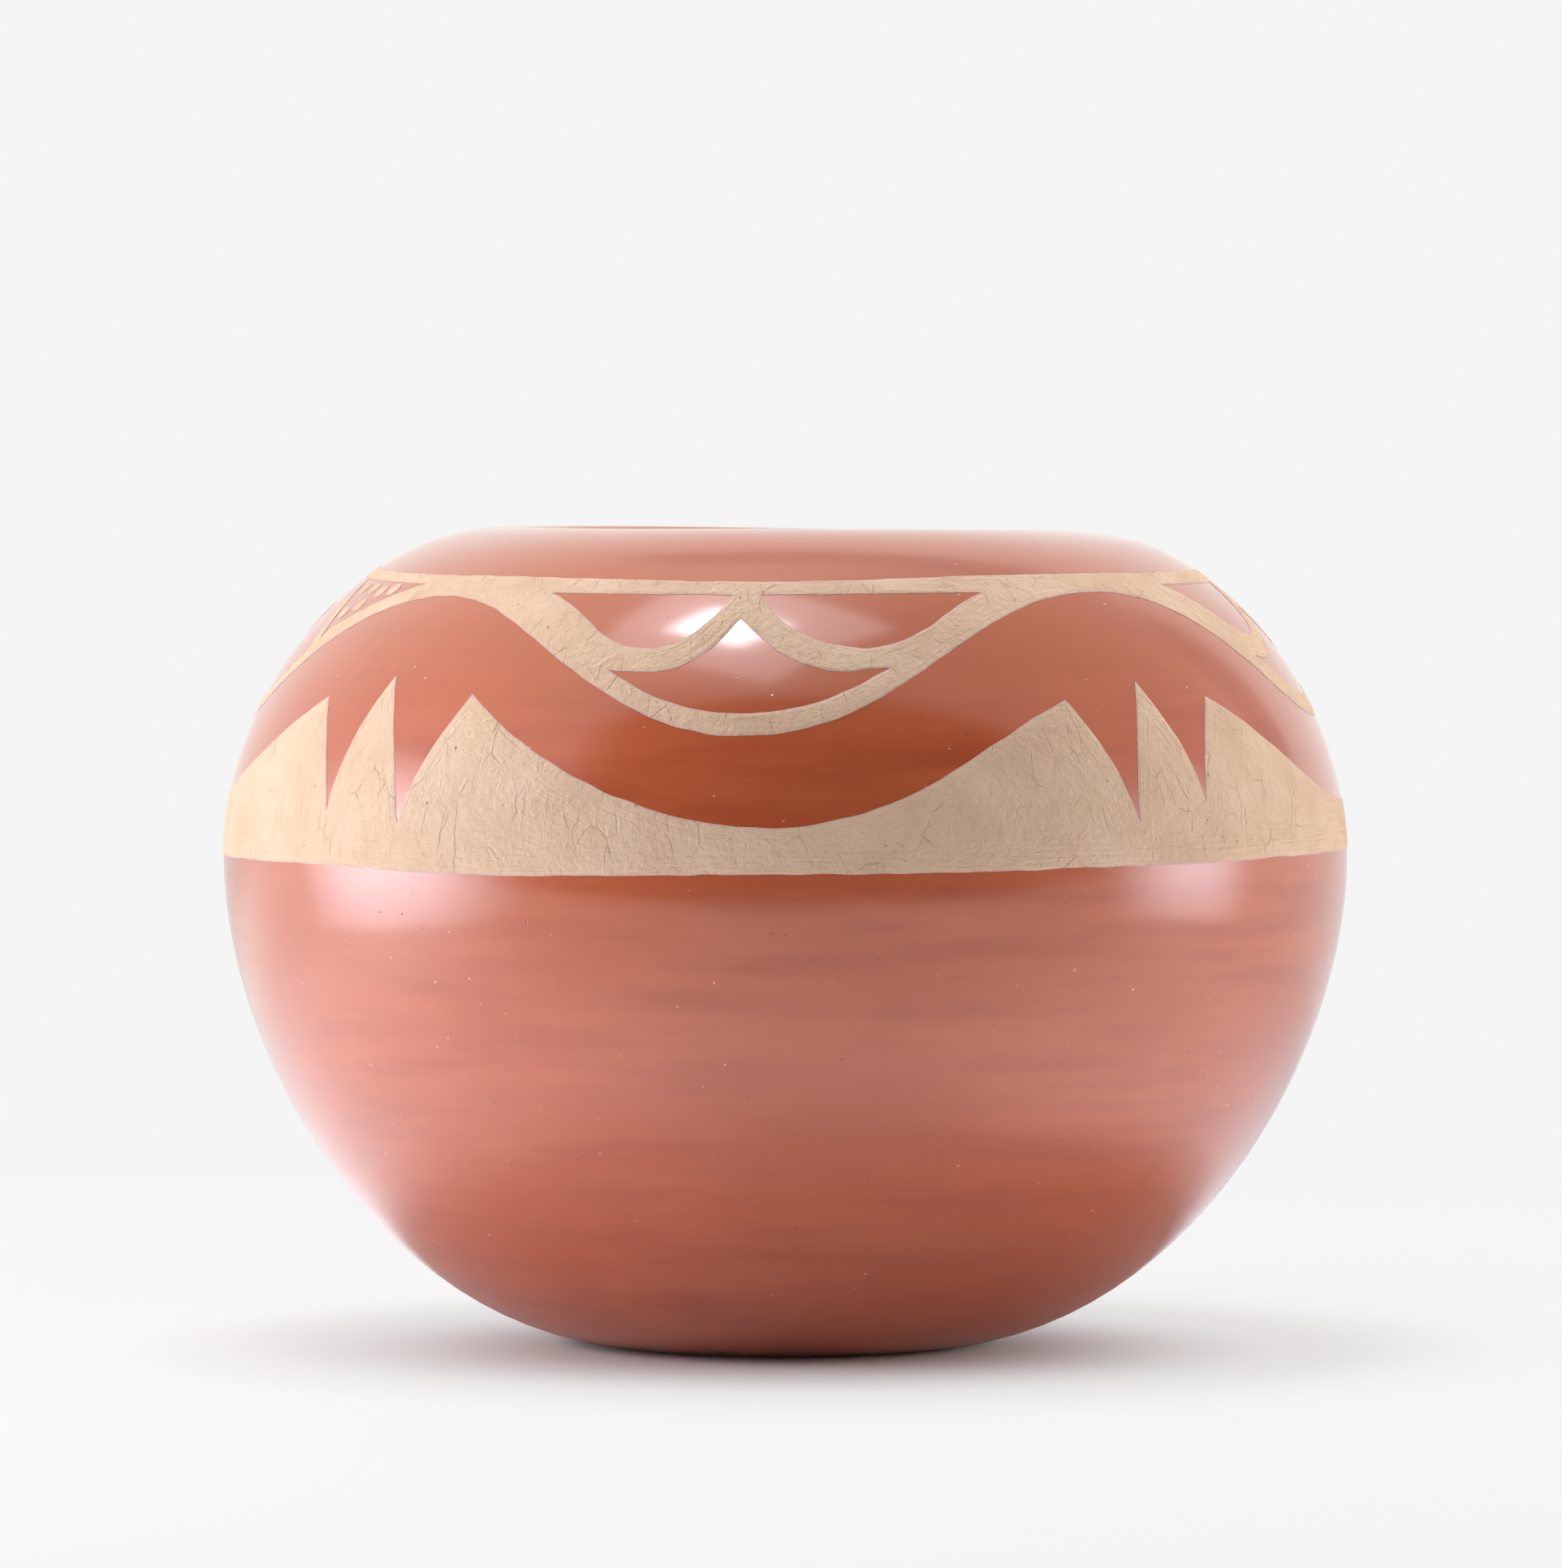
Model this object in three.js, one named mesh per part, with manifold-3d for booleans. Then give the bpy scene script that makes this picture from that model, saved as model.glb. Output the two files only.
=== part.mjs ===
// Round-bellied redware jar: a coiled clay wall under a burnished red slip, with bands of buff slip
// laid on its shoulder in low relief. Lengths are millimetres and angles are degrees. The jar stands
// on z = 0 about the Z axis. An angle of 0 is its front, at -Y, and angles grow towards +X.

import * as THREE from "three";
import { mergeVertices } from "three/addons/utils/BufferGeometryUtils.js";
import Module from "manifold-3d";

const wasm = await Module();
wasm.setup();

// Outside of the red slip
const jarHeight = 110.3;
const bellyRadius = 76;
const bellyHeight = 66;
const lipRadius = 37.5;
const footRadius = 26;

// How far each swell holds its direction before it bends away
const footFlare = 29.8;
const footRise = 4.5;
const bellyFall = 26.6;
const bellyLift = 21.2;
const lipReach = 21;

// Layers, from the clay outwards
const clayWall = 4.8;
const slipGap = 0.1;
const slipThickness = 0.3;
const paintGap = 0.1;
const paintThickness = 0.25;

// Height of bare clay at the foot, and depth of the red slip inside the mouth
const bareFoot = 0.5;
const slipInside = 8;
const footSearchStep = 0.002;

// Facets
const roundSteps = 48;
const bowlSteps = 7;
const shoulderSteps = 8;
const lipSteps = 5;
const innerSteps = 4;
const curveSteps = 5;

// Bends of the painted waves, in turn round the jar. Drops are depths below the lip. Lead and trail
// are the degrees over which a bend stays level on its left and on its right.
const crests = [
  { angle: -48, lead: 21, trail: 18.5, lineDrop: 6.1, waveDrop: 8.8 },
  { angle: 44, lead: 26.5, trail: 20.5, lineDrop: 5.85, waveDrop: 8.2 },
  { angle: 124, lead: 20, trail: 21, lineDrop: 5.7, waveDrop: 8.4 },
  { angle: 218, lead: 22, trail: 21, lineDrop: 5.6, waveDrop: 8.6 },
];
const troughs = [
  { angle: -5, lead: 14, trail: 18, lineDrop: 6.7, waveDrop: 26.3 },
  { angle: 83, lead: 17, trail: 17, lineDrop: 5.7, waveDrop: 25.3 },
  { angle: 171, lead: 18, trail: 18, lineDrop: 5.8, waveDrop: 26 },
  { angle: 268, lead: 17, trail: 16, lineDrop: 5.4, waveDrop: 26 },
];

// Cloud band: a level line, a wave below it, and the openings of red left between them
const lineWidth = 1.75;
const waveWidth = 2.9;
const cloudWidth = 3.15;
const lensDepth = 5.1;
const lensLift = 0.5;
const cuspDepth = 3;
const cuspHalfAngle = 1.8;
const cornerLift = 0.2;

// Where a cloud's outlines turn, as shares of the way from its trough to its crest
const windowCorner = 0.615;
const windowLow = 0.27;
const lensCorner = 0.34;

// How a cloud's outlines bend: reach, floor and arm are shares of that way, and depth is a share of
// the fall of the same curve
const windowInnerBend = { reach: 0.07, depth: 0.74, floor: 0.1 };
const windowOuterBend = { reach: 0.17, depth: 0.36, floor: 0.14 };
const lensLeftBend = { reach: 0.26, depth: 0.4, floor: 0.17 };
const lensRightBend = { reach: 0.23, depth: 0.5, floor: 0.14 };
const cuspLeftBend = { reach: 0.05, depth: 0.3, arm: 0.1 };
const cuspRightBend = { reach: 0.05, depth: 0.5, arm: 0.13 };

// Rain panel: leaf and triangles between stems, with dabs of slip in the triangles
const rainLineWidth = 1.5;
const stemFoot = 19.3;
const stemHead = 13.3;
const stemBulge = 2.2;
const stemAngle = 1.6;
const stemFootDrop = 15;
const triangleTip = 36.7;
const triangleTipFall = 0.4;
const triangleTipBend = 2.3;
const triangleFootBend = { angle: 1.1, rise: 1.5 };
const leafLift = 0.2;
const leafFootFall = 1.2;
const leafBend = { reach: 0.75, depth: 0.6, floor: 0.5 };
const dabHalfAngle = 1;
const dabHalfHeight = 0.65;
const dabs = [
  { angle: 29.5, drop: 8.1 },
  { angle: 26.2, drop: 8.4 },
  { angle: 22.5, drop: 8.1 },
  { angle: 18.4, drop: 8.1 },
  { angle: 23.6, drop: 10.2 },
  { angle: 20.1, drop: 11.3 },
];
const dropAngle = 2.5;
const dropDrop = 12.2;
const dropHalfAngle = 1.5;
const dropHalfHeight = 2.2;

// Feather band: fans of three feathers, placed from the crest above each, and the level hem below
const openFan = {
  tips: [[-11.2, 22.1], [-0.2, 19], [12.4, 21.3]],
  clefts: [[-4.8, 36.7], [6.1, 38]],
};
const closeFan = {
  tips: [[-12.9, 21.9], [-2.6, 19.8], [7.8, 21.8]],
  clefts: [[-6.7, 37.7], [2.8, 35.5]],
};
const fans = [openFan, closeFan, openFan, closeFan];
const hollows = [
  { angle: -92, drop: 35.7, level: 14, hemDrop: 44.2 },
  { angle: -2, drop: 37.9, level: 13, hemDrop: 44.1 },
  { angle: 86, drop: 36.6, level: 17, hemDrop: 43.2 },
  { angle: 171, drop: 37, level: 15, hemDrop: 43.8 },
];
const fanHemDrops = [44.1, 43.4, 43.4, 44];
const featherBulge = 1.6;
const featherReach = 10.5;
const featherFall = 6.5;

// Overlap of neighbouring prisms at a join, their steps through the wall and how far these pass it
const joinAngle = 0.2;
const wallSteps = 3;
const wallMargin = 1;
const weldDistance = 1e-4;

const redSlip = { color: 0xa8482f, roughness: 0.28, metalness: 0 };
const buffSlip = { color: 0xe6cba8, roughness: 0.85, metalness: 0 };
const rawClay = { color: 0xa97a5c, roughness: 0.9, metalness: 0 };

const degree = Math.PI / 180;
const inset = slipGap + slipThickness;
const noseRadius = clayWall / 2 + inset;
const noseHeight = jarHeight - noseRadius;
const skinRadius = bellyRadius + paintGap + paintThickness;

// Side of the jar: a bowl up to the belly, then the shoulder over to the lip
const side = new THREE.Path();
side.moveTo(footRadius, 0);
side.bezierCurveTo(
  footRadius + footFlare, footRise,
  bellyRadius, bellyHeight - bellyFall,
  bellyRadius, bellyHeight,
);
side.bezierCurveTo(
  bellyRadius, bellyHeight + bellyLift,
  lipRadius + lipReach, jarHeight,
  lipRadius, jarHeight,
);
const [bowl, shoulder] = side.curves;

function spread(from, to, steps) {
  return Array.from({ length: steps + 1 }, (_, step) => from + ((to - from) * step) / steps);
}

function slipStart() {
  let share = 0;
  while (bowl.getPoint(share).y < bareFoot) share += footSearchStep;
  return share;
}

const bowlRows = spread(slipStart(), 1, bowlSteps);
const shoulderRows = spread(0, 1, shoulderSteps).slice(1);
const mouthRows = shoulderRows.filter((share) => shoulder.getPoint(share).y > jarHeight - slipInside);

function offsetPoint(curve, share, offset) {
  const point = curve.getPoint(share);
  const along = curve.getTangent(share);
  return new THREE.Vector2(point.x + along.y * offset, point.y - along.x * offset);
}

// One skin of the side, at an offset outwards from the red slip's face
function outerSkin(offset) {
  return [
    ...bowlRows.map((share) => offsetPoint(bowl, share, offset)),
    ...shoulderRows.map((share) => offsetPoint(shoulder, share, offset)),
  ];
}

// Round nose of the lip, from its crest to its underside
function nose(radius) {
  return spread(90, 270, lipSteps).slice(1, -1).map((angle) => new THREE.Vector2(
    lipRadius + radius * Math.cos(angle * degree),
    noseHeight + radius * Math.sin(angle * degree),
  ));
}

function mouthSkin(offset) {
  return mouthRows.toReversed().map((share) => offsetPoint(shoulder, share, offset));
}

function revolve(profile) {
  return new THREE.LatheGeometry(profile, roundSteps).rotateX(Math.PI / 2);
}

function clayBody() {
  const inner = -(inset + clayWall);
  const shoulderInner = spread(mouthRows[0], 0, innerSteps).slice(1);
  const bowlInner = spread(1, bowlRows[0], innerSteps).slice(1);
  const walls = [
    ...mouthSkin(inner),
    ...shoulderInner.map((share) => offsetPoint(shoulder, share, inner)),
    ...bowlInner.map((share) => offsetPoint(bowl, share, inner)),
  ];
  return revolve([
    new THREE.Vector2(0, 0),
    new THREE.Vector2(footRadius, 0),
    ...outerSkin(-inset),
    ...nose(clayWall / 2),
    ...walls,
    new THREE.Vector2(0, walls.at(-1).y),
  ]);
}

// The red slip covers the outside, turns over the lip and ends a little way inside the mouth
function slipCoat() {
  const back = clayWall + inset;
  const face = [
    ...outerSkin(0),
    ...nose(noseRadius),
    ...mouthSkin(-(back + inset)),
  ];
  const underside = [
    ...outerSkin(-slipThickness),
    ...nose(clayWall / 2 + slipGap),
    ...mouthSkin(-(back + slipGap)),
  ];
  return revolve([...face, ...underside.toReversed(), face[0]]);
}

function toSolid(geometry) {
  geometry.deleteAttribute("normal");
  geometry.deleteAttribute("uv");
  const merged = mergeVertices(geometry, weldDistance);
  return new wasm.Manifold(new wasm.Mesh({
    numProp: 3,
    vertProperties: new Float32Array(merged.attributes.position.array),
    triVerts: new Uint32Array(merged.index.array),
  }));
}

function toGeometry(solid) {
  const mesh = solid.getMesh();
  const geometry = new THREE.BufferGeometry();
  geometry.setAttribute("position", new THREE.BufferAttribute(mesh.vertProperties, 3));
  geometry.setIndex(new THREE.BufferAttribute(mesh.triVerts, 1));
  geometry.computeVertexNormals();
  return geometry;
}

// Full sheet of buff slip, from just below the belly to the lip, which the outlines are cut from
function paintSheet() {
  const face = outerSkin(paintGap + paintThickness).slice(bowlSteps - 1);
  const underside = outerSkin(paintGap).slice(bowlSteps - 1);
  return toSolid(revolve([...face, ...underside.toReversed(), face[0]]));
}

// An outline is drawn flat, as degrees round the jar against height, and bent round the Z axis. Its
// prism has close steps where the wall is, and reaches so far past it that its flat ends stay clear.
function bentPrism(outline) {
  const wall = spread(lipRadius, skinRadius + wallMargin, wallSteps);
  const radii = [lipRadius / 2, ...wall, 2 * bellyRadius];
  const prism = new THREE.ExtrudeGeometry(outline, {
    depth: radii.length - 1,
    steps: radii.length - 1,
    bevelEnabled: false,
    curveSegments: curveSteps,
  });
  const place = prism.attributes.position;
  for (let index = 0; index < place.count; index++) {
    const angle = place.getX(index) * degree;
    const height = place.getY(index);
    const radius = radii[Math.round(place.getZ(index))];
    place.setXYZ(index, radius * Math.sin(angle), -radius * Math.cos(angle), height);
  }
  return toSolid(prism);
}

function heightAt(drop) {
  return jarHeight - drop;
}

// Curve from one level bend to the next
function sweepTo(path, from, to) {
  const way = Math.sign(to.angle - from.angle);
  path.bezierCurveTo(
    from.angle + way * from.level, heightAt(from.drop),
    to.angle - way * to.level, heightAt(to.drop),
    to.angle, heightAt(to.drop),
  );
}

function straightTo(path, angle, drop) {
  path.lineTo(angle, heightAt(drop));
}

function bulgeTo(path, from, to, bulge) {
  path.quadraticCurveTo(
    (from[0] + to[0]) / 2 + bulge, heightAt((from[1] + to[1]) / 2),
    to[0], heightAt(to[1]),
  );
}

// One cloud panel's window of red, between the line, the wave and the cloud's arm
function cloudWindow(trough, crest) {
  const reach = crest.angle - trough.angle;
  const top = trough.lineDrop + lineWidth;
  const low = trough.waveDrop - waveWidth - lensDepth - cloudWidth;
  const tall = low - top;
  const inner = trough.angle + Math.sign(reach) * cuspHalfAngle;
  const bottom = trough.angle + reach * windowLow;
  const outer = trough.angle + reach * windowCorner;
  const path = new THREE.Path();
  path.moveTo(inner, heightAt(top));
  path.bezierCurveTo(
    inner + reach * windowInnerBend.reach, heightAt(top + tall * windowInnerBend.depth),
    bottom - reach * windowInnerBend.floor, heightAt(low),
    bottom, heightAt(low),
  );
  path.bezierCurveTo(
    bottom + reach * windowOuterBend.floor, heightAt(low),
    outer - reach * windowOuterBend.reach, heightAt(top + tall * windowOuterBend.depth),
    outer, heightAt(top - cornerLift),
  );
  return path;
}

// The lens of red below both clouds, which meets them in a cusp
function cloudLens(trough, left, right) {
  const cloudLow = trough.waveDrop - waveWidth - lensDepth;
  const apex = trough.lineDrop + lineWidth + cuspDepth;
  const tall = cloudLow - apex;
  const bottom = trough.waveDrop - waveWidth;
  const span = (crest, share) => trough.angle + (crest.angle - trough.angle) * share;
  const path = new THREE.Path();
  path.moveTo(span(left, lensCorner), heightAt(cloudLow - lensLift));
  path.bezierCurveTo(
    span(left, lensLeftBend.reach), heightAt(cloudLow + lensDepth * lensLeftBend.depth),
    span(left, lensLeftBend.floor), heightAt(bottom),
    trough.angle, heightAt(bottom),
  );
  path.bezierCurveTo(
    span(right, lensRightBend.floor), heightAt(bottom),
    span(right, lensRightBend.reach), heightAt(cloudLow + lensDepth * lensRightBend.depth),
    span(right, lensCorner), heightAt(cloudLow - lensLift),
  );
  straightTo(path, span(right, windowLow), cloudLow);
  path.bezierCurveTo(
    span(right, cuspRightBend.arm), heightAt(cloudLow),
    span(right, cuspRightBend.reach), heightAt(apex + tall * cuspRightBend.depth),
    trough.angle, heightAt(apex),
  );
  path.bezierCurveTo(
    span(left, cuspLeftBend.reach), heightAt(apex + tall * cuspLeftBend.depth),
    span(left, cuspLeftBend.arm), heightAt(cloudLow),
    span(left, windowLow), heightAt(cloudLow),
  );
  return path;
}

// The triangle of red beside a stem. Way is +1 to the right of the panel's middle and -1 to its left.
function rainTriangle(trough, way) {
  const top = trough.lineDrop + rainLineWidth;
  const middle = trough.angle;
  const path = new THREE.Path();
  path.moveTo(middle + way * triangleTip, heightAt(top + triangleTipFall));
  path.bezierCurveTo(
    middle + way * (triangleTip - triangleTipBend), heightAt(top + triangleTipFall),
    middle + way * (stemFoot - triangleFootBend.angle), heightAt(stemFootDrop - triangleFootBend.rise),
    middle + way * stemFoot, heightAt(stemFootDrop),
  );
  bulgeTo(
    path,
    [middle + way * stemFoot, stemFootDrop],
    [middle + way * stemHead, top],
    way * stemBulge,
  );
  return path;
}

// The leaf of red between the two stems, with its point down in the trough of the wave
function rainLeaf(trough) {
  const top = trough.lineDrop + rainLineWidth - leafLift;
  const bottom = trough.waveDrop - waveWidth;
  const middle = trough.angle;
  const head = stemHead - stemAngle;
  const foot = stemFoot - stemAngle;
  const footDrop = stemFootDrop + leafFootFall;
  const bendDrop = footDrop + (bottom - footDrop) * leafBend.depth;
  const path = new THREE.Path();
  path.moveTo(middle - head, heightAt(top));
  bulgeTo(path, [middle - head, top], [middle - foot, footDrop], -stemBulge);
  path.bezierCurveTo(
    middle - foot * leafBend.reach, heightAt(bendDrop),
    middle - foot * leafBend.floor, heightAt(bottom),
    middle, heightAt(bottom),
  );
  path.bezierCurveTo(
    middle + foot * leafBend.floor, heightAt(bottom),
    middle + foot * leafBend.reach, heightAt(bendDrop),
    middle + foot, heightAt(footDrop),
  );
  bulgeTo(path, [middle + foot, footDrop], [middle + head, top], stemBulge);
  return path;
}

// One panel of the cloud band, from the crest on its left to the crest on its right
function cloudPanel(trough, left, right, holes) {
  const line = (bend) => ({ angle: bend.angle, drop: bend.lineDrop, level: bend.trail });
  const leftWave = { angle: left.angle, drop: left.waveDrop, level: left.trail };
  const rightWave = { angle: right.angle, drop: right.waveDrop, level: right.lead };
  const outline = new THREE.Shape();
  outline.moveTo(left.angle - joinAngle, heightAt(left.lineDrop));
  straightTo(outline, left.angle - joinAngle, left.waveDrop);
  straightTo(outline, left.angle, left.waveDrop);
  sweepTo(outline, leftWave, { angle: trough.angle, drop: trough.waveDrop, level: trough.lead });
  sweepTo(outline, { angle: trough.angle, drop: trough.waveDrop, level: trough.trail }, rightWave);
  straightTo(outline, right.angle + joinAngle, right.waveDrop);
  straightTo(outline, right.angle + joinAngle, right.lineDrop);
  straightTo(outline, right.angle, right.lineDrop);
  sweepTo(outline, line(right), line(trough));
  sweepTo(outline, line(trough), line(left));
  outline.holes = holes;
  return bentPrism(outline);
}

function cloudBand() {
  const prisms = troughs.map((trough, panel) => {
    const left = crests[panel];
    const next = crests[(panel + 1) % crests.length];
    const right = next.angle > left.angle ? next : { ...next, angle: next.angle + 360 };
    const holes = panel === troughs.length - 1
      ? [rainTriangle(trough, -1), rainLeaf(trough), rainTriangle(trough, 1)]
      : [cloudWindow(trough, left), cloudLens(trough, left, right), cloudWindow(trough, right)];
    return cloudPanel(trough, left, right, holes);
  });
  return toGeometry(paintSheet().intersect(wasm.Manifold.union(prisms)));
}

// One fan of feathers, from the hollow on its left to the hollow on its right
function featherFan(crest, fan, hemDrop, left, right) {
  const place = ([angle, drop]) => [crest.angle + angle, drop];
  const [first, second, third] = fan.tips.map(place);
  const [firstCleft, secondCleft] = fan.clefts.map(place);
  const middle = { angle: crest.angle, drop: hemDrop, level: featherReach };
  const hem = (hollow) => ({ angle: hollow.angle, drop: hollow.hemDrop, level: hollow.level });
  const outline = new THREE.Shape();
  outline.moveTo(left.angle - joinAngle, heightAt(left.hemDrop));
  straightTo(outline, left.angle - joinAngle, left.drop);
  straightTo(outline, left.angle, left.drop);
  outline.bezierCurveTo(
    left.angle + left.level, heightAt(left.drop),
    first[0] - featherReach, heightAt(first[1] + featherFall),
    first[0], heightAt(first[1]),
  );
  bulgeTo(outline, first, firstCleft, featherBulge);
  bulgeTo(outline, firstCleft, second, -featherBulge);
  bulgeTo(outline, second, secondCleft, featherBulge);
  bulgeTo(outline, secondCleft, third, -featherBulge);
  outline.bezierCurveTo(
    third[0] + featherReach, heightAt(third[1] + featherFall),
    right.angle - right.level, heightAt(right.drop),
    right.angle, heightAt(right.drop),
  );
  straightTo(outline, right.angle + joinAngle, right.drop);
  straightTo(outline, right.angle + joinAngle, right.hemDrop);
  straightTo(outline, right.angle, right.hemDrop);
  sweepTo(outline, hem(right), middle);
  sweepTo(outline, middle, hem(left));
  return bentPrism(outline);
}

function featherBand() {
  const prisms = crests.map((crest, index) => {
    const left = hollows[index];
    const next = hollows[(index + 1) % hollows.length];
    const right = next.angle > left.angle ? next : { ...next, angle: next.angle + 360 };
    return featherFan(crest, fans[index], fanHemDrops[index], left, right);
  });
  return toGeometry(paintSheet().intersect(wasm.Manifold.union(prisms)));
}

function dab(angle, drop, halfAngle, halfHeight) {
  const outline = new THREE.Shape();
  outline.absellipse(angle, heightAt(drop), halfAngle, halfHeight, 0, 2 * Math.PI);
  return toGeometry(paintSheet().intersect(bentPrism(outline)));
}

const group = new THREE.Group();

function addPiece(name, geometry, finish) {
  const mesh = new THREE.Mesh(geometry, new THREE.MeshStandardMaterial(finish));
  mesh.name = name;
  group.add(mesh);
}

addPiece("jar_body", clayBody(), rawClay);
addPiece("red_slip_coat", slipCoat(), redSlip);
addPiece("cloud_band", cloudBand(), buffSlip);
addPiece("feather_band", featherBand(), buffSlip);

const rainPanel = troughs.at(-1).angle;
[1, -1].forEach((way, half) => dabs.forEach((spot, index) => {
  const number = String(half * dabs.length + index + 1).padStart(2, "0");
  const shape = dab(rainPanel + way * spot.angle, spot.drop, dabHalfAngle, dabHalfHeight);
  addPiece(`rain_dab_${number}`, shape, buffSlip);
}));
addPiece("rain_drop", dab(rainPanel + dropAngle, dropDrop, dropHalfAngle, dropHalfHeight), buffSlip);

export default group;
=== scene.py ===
# %% [markdown]
# # A burnished redware jar with buff slip painting
# The jar is coiled from clay, smoothed, covered with a red slip and polished with a stone until it
# shines. Its bands are then painted in a thick buff slip that stays matt and stands a little proud.
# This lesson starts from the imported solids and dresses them: a smooth spun wall and slip coat, the
# painted bands with soft edges, the finishes, and a plain pale studio.

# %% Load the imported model
import math
import bpy
import numpy as np
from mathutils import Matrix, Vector, geometry, kdtree, noise


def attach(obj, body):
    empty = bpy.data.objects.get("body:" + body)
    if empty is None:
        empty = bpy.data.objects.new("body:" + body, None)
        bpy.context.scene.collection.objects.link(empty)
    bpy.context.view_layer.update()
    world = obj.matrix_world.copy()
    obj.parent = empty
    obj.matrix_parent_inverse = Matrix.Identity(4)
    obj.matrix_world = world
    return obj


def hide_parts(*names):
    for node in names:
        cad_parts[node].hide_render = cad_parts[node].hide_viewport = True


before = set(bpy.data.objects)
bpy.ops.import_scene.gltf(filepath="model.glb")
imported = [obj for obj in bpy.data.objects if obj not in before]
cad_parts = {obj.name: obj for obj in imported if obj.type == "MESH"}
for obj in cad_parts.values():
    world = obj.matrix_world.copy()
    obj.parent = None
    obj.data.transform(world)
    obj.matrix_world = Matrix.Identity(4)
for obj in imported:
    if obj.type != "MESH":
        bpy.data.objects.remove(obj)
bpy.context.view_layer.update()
print("Nodes:", sorted(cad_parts))

# %% [markdown]
# ## The side of the jar
# One curve gives the whole shape: it leaves the foot almost level, stands upright at the belly, and
# comes in over the shoulder to a lip that is level again. A potter checks the same line against the
# light. The sizes repeat those of the solids, in millimetres, and become metres when a mesh is made.

# %% Sizes of the wall and its layers
MM = 0.001
jar_height = 110.3
belly_radius = 76
belly_height = 66
lip_radius = 37.5
foot_radius = 26
clay_wall = 4.8
slip_depth = 0.4
bare_foot = 0.5
nose_radius = clay_wall / 2 + slip_depth

foot_bend = (foot_radius, 0)
belly_bend = (belly_radius, belly_height)
lip_bend = (lip_radius, jar_height)
bowl = [foot_bend, (foot_radius + 29.8, 4.5), (belly_radius, belly_height - 26.6), belly_bend]
shoulder = [belly_bend, (belly_radius, belly_height + 21.2), (lip_radius + 21, jar_height), lip_bend]


def swell(points, steps):
    """Points along a curve from its first point to its last, bent by the two between them."""
    share = np.linspace(0, 1, steps + 1)[:, None]
    start, first_pull, second_pull, end = np.array(points, float)
    return (
        (1 - share) ** 3 * start
        + 3 * (1 - share) ** 2 * share * first_pull
        + 3 * (1 - share) * share**2 * second_pull
        + share**3 * end
    )


# %% [markdown]
# ## Spinning the wall
# The wall is round, so its profile is drawn once as a Bezier curve and spun about the Z axis. The clay
# starts and ends on the axis, so spinning closes it at the floor and under the foot. The slip coat is
# an open skin, cut level above the foot and then thickened. The far side of the real lip stands half a
# millimetre or so lower than the near side, so the wall and the coat are settled once they are spun.

# %% Draw a profile and spin it
round_steps = 192
bend_steps = 26
circle_pull = 0.5523
merge_reach = 0.001


def draw_profile(name, bends):
    """A line of edges along bends, each a place with the pull before it and the pull after it."""
    bpy.ops.object.select_all(action="DESELECT")
    bpy.ops.curve.primitive_bezier_curve_add()
    profile = bpy.context.object
    profile.name = name
    profile.data.resolution_u = bend_steps
    spline = profile.data.splines[0]
    spline.bezier_points.add(len(bends) - len(spline.bezier_points))
    for point, (place, before, after) in zip(spline.bezier_points, bends):
        point.handle_left_type = "FREE"
        point.handle_right_type = "FREE"
        point.co = (place[0] * MM, 0, place[1] * MM)
        point.handle_left = (before[0] * MM, 0, before[1] * MM)
        point.handle_right = (after[0] * MM, 0, after[1] * MM)
    bpy.ops.object.convert(target="MESH")
    return bpy.context.object


def spin(piece):
    """Turn the piece's profile once round the Z axis, and close the seam and the poles."""
    bpy.ops.object.mode_set(mode="EDIT")
    bpy.ops.mesh.select_all(action="SELECT")
    bpy.ops.mesh.remove_doubles(threshold=merge_reach * MM)
    bpy.ops.mesh.spin(steps=round_steps, angle=2 * math.pi, center=(0, 0, 0), axis=(0, 0, 1))
    bpy.ops.mesh.select_all(action="SELECT")
    bpy.ops.mesh.remove_doubles(threshold=merge_reach * MM)
    bpy.ops.mesh.normals_make_consistent(inside=False)
    bpy.ops.object.mode_set(mode="OBJECT")
    bpy.ops.object.shade_smooth()


def apply_modifier(piece, kind, **settings):
    """Add one modifier with its settings and apply it."""
    bpy.context.view_layer.objects.active = piece
    modifier = piece.modifiers.new(kind.title(), kind)
    for name, value in settings.items():
        setattr(modifier, name, value)
    bpy.ops.object.modifier_apply(modifier=modifier.name)


# %% The clay wall
clay_foot = foot_radius - slip_depth
clay_belly = belly_radius - slip_depth
clay_nose = clay_wall / 2
clay_pull = circle_pull * clay_nose
clay_inside = lip_radius - clay_nose
clay_lip = jar_height - slip_depth
inner_belly = clay_belly - clay_wall
inner_lip = clay_lip - clay_wall
nose_centre = jar_height - nose_radius
floor_top = 5.6
floor_radius = 27.7
axis_foot = (0, 0)
axis_floor = (0, floor_top)

clay_bends = [
    (axis_foot, axis_foot, axis_foot),
    ((clay_foot, 0), (clay_foot, 0), (clay_foot + 29.6, 5)),
    ((clay_belly, belly_height), (clay_belly, 39.6), (clay_belly, 87)),
    ((lip_radius, clay_lip), (lip_radius + 20.8, clay_lip), (lip_radius - clay_pull, clay_lip)),
    (
        (clay_inside, nose_centre),
        (clay_inside, nose_centre + clay_pull),
        (clay_inside, nose_centre - clay_pull),
    ),
    ((lip_radius, inner_lip), (lip_radius - clay_pull, inner_lip), (lip_radius + 18, inner_lip)),
    ((inner_belly, belly_height), (inner_belly, 84.5), (inner_belly, 41.3)),
    ((floor_radius, floor_top), (53, 9), (floor_radius, floor_top)),
    (axis_floor, axis_floor, axis_floor),
]
lip_sink = 0.42
lip_tilt = 0.6
lip_reach = 8
settled_radius = lip_radius + 1.5 * lip_reach


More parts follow.
